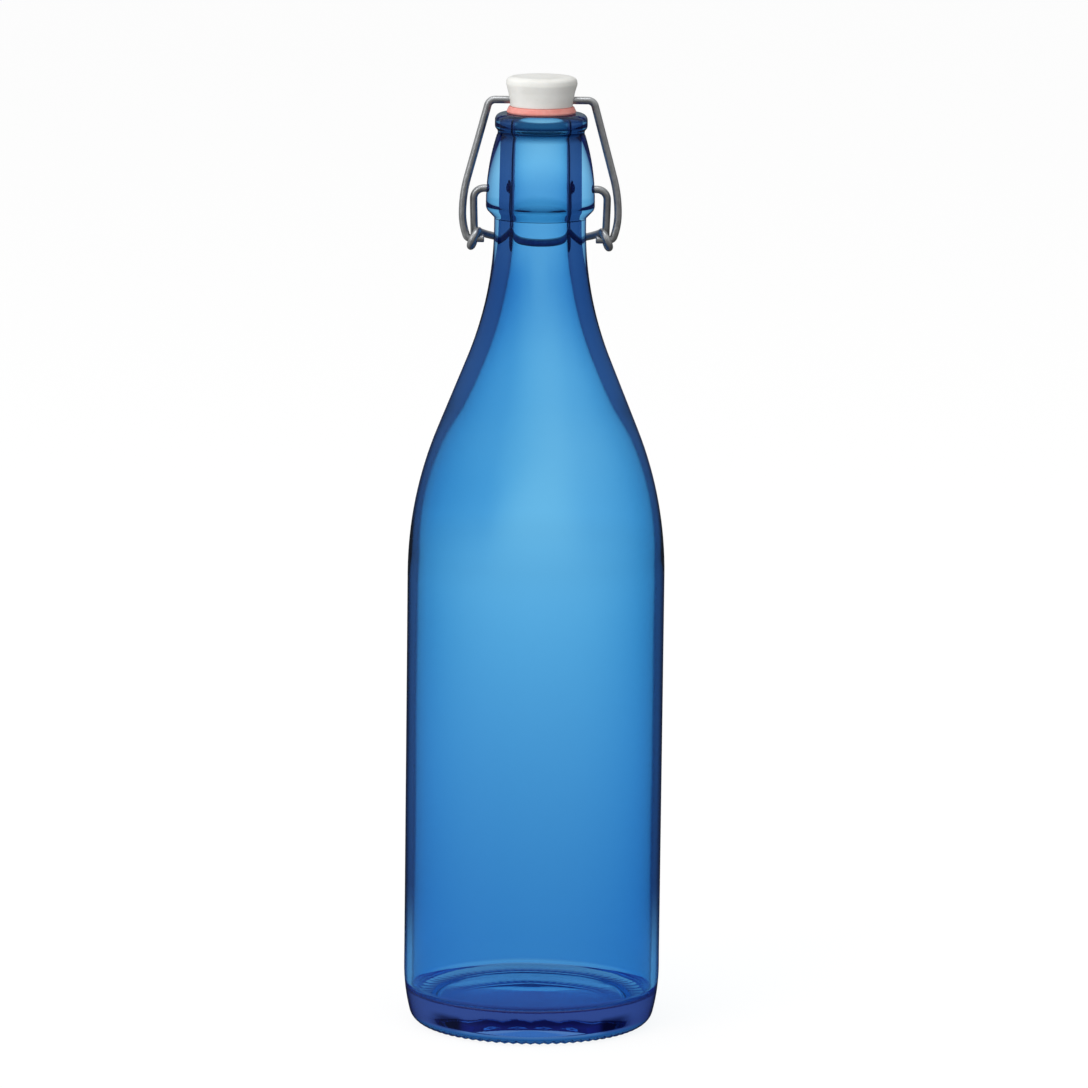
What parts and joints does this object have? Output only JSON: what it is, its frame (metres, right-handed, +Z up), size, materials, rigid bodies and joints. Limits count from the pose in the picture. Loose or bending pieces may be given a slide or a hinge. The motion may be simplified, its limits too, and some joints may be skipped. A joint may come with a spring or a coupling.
{
  "type": "swing top bottle",
  "caption": "Tall blue glass bottle with a wire bail closure: a lever hinged in the neck ring pulls a stopper and rubber gasket down on the mouth.",
  "frame": {"origin": "centre of the resting plane, on the bottle's axis", "axes": "+Z up along the bottle's axis; X along the lever's pivot axis; +Y towards the lever's thumb loop, behind the neck"},
  "size_m": [0.085, 0.085, 0.3165],
  "materials": {
    "glass": "clear, coloured through, moulded",
    "stopper": "smooth off-white, low gloss",
    "gasket": "matt coral rubber",
    "wire": "drawn galvanised steel wire"
  },
  "bodies": {
    "bottle": {"glass_bottle": "glass"},
    "lever": {"lever_wire": "wire"},
    "bail": {"bail_wire": "wire"},
    "stopper": {"stopper_cap": "stopper", "sealing_gasket": "gasket"}
  },
  "joints": [
    {"name": "lever_pivot", "type": "hinge", "parent": "bottle", "child": "lever", "pos_m": [0, 0, 0.2792], "axis": [1, 0, 0], "range_deg": [0, 96]},
    {"name": "bail_pivot", "type": "hinge", "parent": "lever", "child": "bail", "pos_m": [0, -0.0009, 0.2627], "axis": [1, 0, 0], "range_deg": [-65, 0]},
    {"name": "stopper_pivot", "type": "hinge", "parent": "bail", "child": "stopper", "pos_m": [0, 0, 0.3084], "axis": [1, 0, 0], "range_deg": [-32, 0]}
  ],
  "couplings": [
    {"joint": "bail_pivot", "follows": "lever_pivot", "ratio": -0.67},
    {"joint": "stopper_pivot", "follows": "lever_pivot", "ratio": -0.33}
  ]
}
